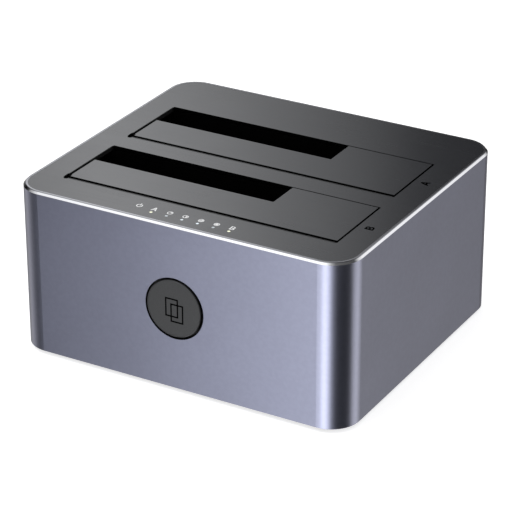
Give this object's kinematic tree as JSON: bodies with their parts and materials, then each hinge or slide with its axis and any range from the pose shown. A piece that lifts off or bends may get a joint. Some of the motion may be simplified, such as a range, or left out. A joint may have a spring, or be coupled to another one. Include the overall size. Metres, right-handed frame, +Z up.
{
  "type": "drive duplicator dock",
  "caption": "Twin-bay hard-drive copying dock: aluminium sleeve, sprung L-slot bay flaps, round copy button, status window row, rear power and data inlets.",
  "frame": {"origin": "centre of the footprint at the bottom of the feet", "axes": "+X to the right seen from the button side, +Y from the button side to the rear, +Z up"},
  "size_m": [0.127, 0.113, 0.0612],
  "materials": {
    "sleeve_aluminium": "bead-blasted and anodised blue-grey, bright cut top edge",
    "top_plastic": "satin dark grey ABS",
    "flap_plastic": "satin dark grey ABS",
    "base_plastic": "fine-textured black ABS",
    "foot_rubber": "matt black rubber",
    "cage_plastic": "black moulded ABS",
    "pin_steel": "ground steel wire",
    "spring_steel": "bright spring steel",
    "button_plastic": "satin dark grey ABS",
    "switch_plastic": "black nylon",
    "board_laminate": "green glass-epoxy laminate",
    "lamp_resin": "clear lamp resin",
    "light_pipe": "clear acrylic",
    "header_plastic": "black nylon",
    "socket_plastic": "black glass-filled nylon",
    "contact_gold": "gold-plated contact strip",
    "shell_steel": "nickel-plated sheet steel",
    "tongue_plastic": "blue nylon",
    "power_plastic": "satin black ABS",
    "chip_resin": "black moulded resin",
    "ferrite": "grey ferrite",
    "can_aluminium": "bare aluminium can",
    "screw_steel": "black-oxide steel"
  },
  "bodies": {
    "housing": {"housing_sleeve": "sleeve_aluminium", "top_panel": "top_plastic", "base_plate": "base_plastic", "feet": "foot_rubber", "drive_cage": "cage_plastic", "flap_pins": "pin_steel", "flap_spring_a": "spring_steel", "flap_spring_b": "spring_steel", "tact_switch": "switch_plastic", "button_guide": "cage_plastic", "button_spring": "spring_steel", "front_board": "board_laminate", "status_leds": "lamp_resin", "light_guide": "light_pipe", "board_header": "header_plastic", "main_board": "board_laminate", "sata_socket_a": "socket_plastic", "sata_socket_b": "socket_plastic", "sata_contacts": "contact_gold", "usb_shell": "shell_steel", "usb_tongue": "tongue_plastic", "dc_jack": "socket_plastic", "dc_pin": "shell_steel", "power_switch": "switch_plastic", "ic_chips": "chip_resin", "inductors": "ferrite", "capacitors": "can_aluminium", "base_screws": "screw_steel", "cage_screws": "screw_steel", "board_screws": "screw_steel", "front_board_screws": "screw_steel"},
    "flap_a": {"flap_a": "flap_plastic"},
    "flap_b": {"flap_b": "flap_plastic"},
    "clone_button": {"clone_button": "button_plastic", "tact_plunger": "switch_plastic"},
    "power_button": {"power_button": "power_plastic", "power_plunger": "switch_plastic"}
  },
  "joints": [
    {"name": "flap_a_hinge", "type": "hinge", "parent": "housing", "child": "flap_a", "pos_m": [0, 0, 0.0579], "axis": [1, 0, 0], "range_deg": [-90, 0], "stiffness_Nm_per_rad": 0.002, "springref_deg": 57.3, "deforming": ["flap_spring_a"]},
    {"name": "flap_b_hinge", "type": "hinge", "parent": "housing", "child": "flap_b", "pos_m": [0, -0.04, 0.0579], "axis": [1, 0, 0], "range_deg": [-90, 0], "stiffness_Nm_per_rad": 0.002, "springref_deg": 57.3, "deforming": ["flap_spring_b"]},
    {"name": "clone_button_slide", "type": "slide", "parent": "housing", "child": "clone_button", "axis": [0, 1, 0], "range_m": [0, 0.0006], "stiffness_N_per_m": 400, "springref_m": -0.003, "deforming": ["button_spring"]},
    {"name": "power_button_slide", "type": "slide", "parent": "housing", "child": "power_button", "axis": [0, -1, 0], "range_m": [0, 0.0015], "stiffness_N_per_m": 400, "springref_m": -0.003}
  ]
}
